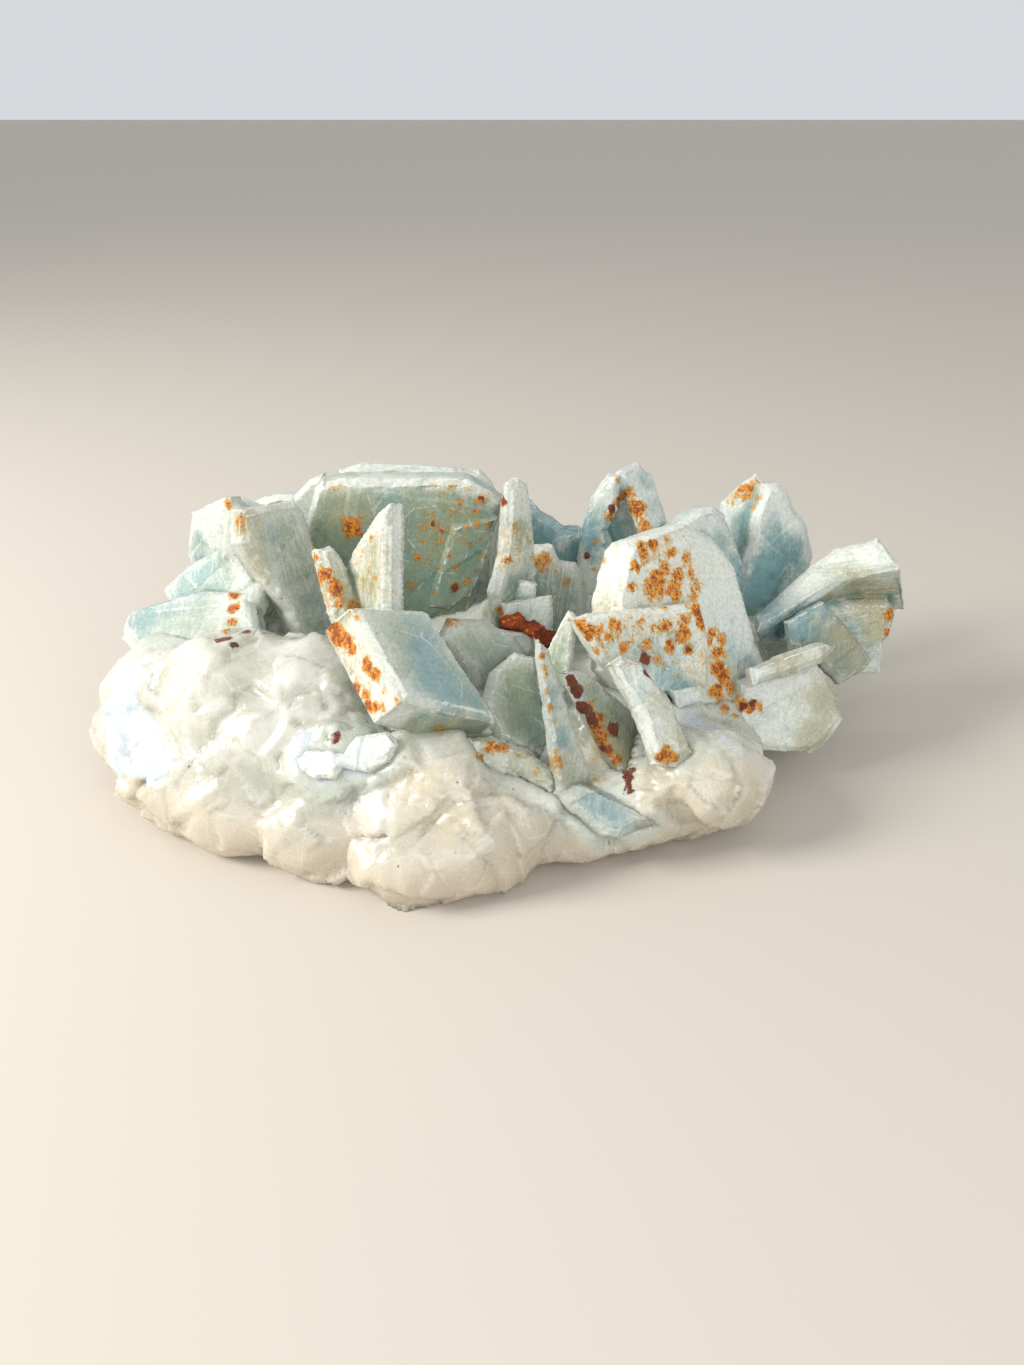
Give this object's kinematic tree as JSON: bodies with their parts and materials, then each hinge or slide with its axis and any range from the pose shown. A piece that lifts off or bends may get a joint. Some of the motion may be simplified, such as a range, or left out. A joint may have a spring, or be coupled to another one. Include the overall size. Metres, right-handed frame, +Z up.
{
  "type": "barite crystal cluster",
  "caption": "Mineral specimen: blue tabular barite crystals, bevelled flat plates standing in all directions on a lumpy white mass, rust-stained in places.",
  "frame": {"origin": "bottom centre of the specimen's box, on the surface it rests on", "axes": "+X along the longest extent, to the right in the picture; +Y away from the viewer; +Z up"},
  "size_m": [0.1242, 0.076, 0.044],
  "materials": {
    "blue_barite": "cloudy pale blue, vitreous, frosted at the edges, rust-stained",
    "white_mass": "milky white, slightly translucent",
    "iron_crust": "earthy red-brown"
  },
  "bodies": {
    "root": {"front_crystals": "blue_barite", "right_crystals": "blue_barite", "back_plate": "blue_barite", "back_rim_plate": "blue_barite", "striated_blade": "blue_barite", "left_crystals": "blue_barite", "back_left_crystals": "blue_barite", "centre_crystals": "blue_barite", "blue_crystals": "blue_barite", "right_arm": "blue_barite", "arm_plate": "blue_barite", "right_round_plate": "blue_barite", "fan_plate": "blue_barite", "rod_blade": "blue_barite", "rust_backed_plate": "blue_barite", "thin_blades": "blue_barite", "front_leaves": "blue_barite", "cream_blade": "blue_barite", "back_fan_a": "blue_barite", "back_fan_b": "blue_barite", "back_fan_c": "blue_barite", "rust_crust": "iron_crust", "white_mass": "white_mass"}
  },
  "joints": []
}
